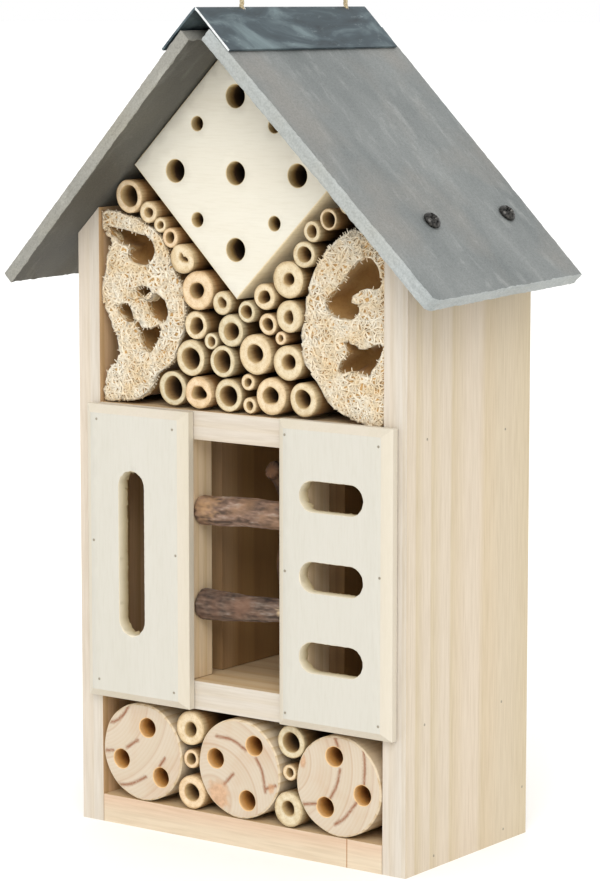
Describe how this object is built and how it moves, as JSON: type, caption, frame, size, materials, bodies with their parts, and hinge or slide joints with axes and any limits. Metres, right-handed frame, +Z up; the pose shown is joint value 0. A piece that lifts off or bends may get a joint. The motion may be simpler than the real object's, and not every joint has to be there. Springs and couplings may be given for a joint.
{
  "type": "insect hotel",
  "caption": "House-shaped insect hotel: pine case, sloping slate roof with metal ridge cap, slotted front panels, drilled block and logs, canes, loofah, sticks, twine loop.",
  "frame": {"origin": "centre of the case's flat base, level with the surface it stands on", "axes": "+Z up, the open front faces -Y, +X to the right as seen from the front"},
  "size_m": [0.2352, 0.1302, 0.4411],
  "materials": {
    "pine": "planed, bare",
    "pine_end": "planed, bare",
    "panel_board": "sanded, bare",
    "cane": "dry cane, bare",
    "log_wood": "sawn, bare",
    "bark": "rough bark",
    "loofah": "open dry fibre",
    "slate": "cleft, matte",
    "ridge_metal": "weathered zinc grey",
    "screw_steel": "black",
    "twine": "jute"
  },
  "bodies": {
    "root": {"back_board": "pine", "bottom_board": "pine_end", "cane_01": "cane", "cane_02": "cane", "cane_03": "cane", "cane_04": "cane", "cane_05": "cane", "cane_06": "cane", "cane_07": "cane", "cane_08": "cane", "cane_09": "cane", "cane_10": "cane", "cane_11": "cane", "cane_12": "cane", "cane_13": "cane", "cane_14": "cane", "cane_15": "cane", "cane_16": "cane", "cane_17": "cane", "cane_18": "cane", "cane_19": "cane", "cane_20": "cane", "cane_21": "cane", "cane_22": "cane", "cane_23": "cane", "cane_24": "cane", "cane_25": "cane", "cane_26": "cane", "cane_27": "cane", "cane_28": "cane", "cane_29": "cane", "cane_30": "cane", "crooked_stick": "bark", "drilled_block": "panel_board", "hanging_cord": "twine", "left_front_screw": "screw_steel", "left_loofah": "loofah", "left_panel": "panel_board", "left_partition": "pine", "left_post": "pine", "left_rear_screw": "screw_steel", "left_side": "pine", "left_slate": "slate", "log_left": "log_wood", "log_middle": "log_wood", "log_right": "log_wood", "lower_shelf": "pine_end", "lower_stick": "bark", "ridge_cap": "ridge_metal", "right_front_screw": "screw_steel", "right_loofah": "loofah", "right_panel": "panel_board", "right_partition": "pine", "right_post": "pine", "right_rear_screw": "screw_steel", "right_side": "pine", "right_slate": "slate", "upper_shelf": "pine_end", "upper_stick": "bark"}
  },
  "joints": []
}
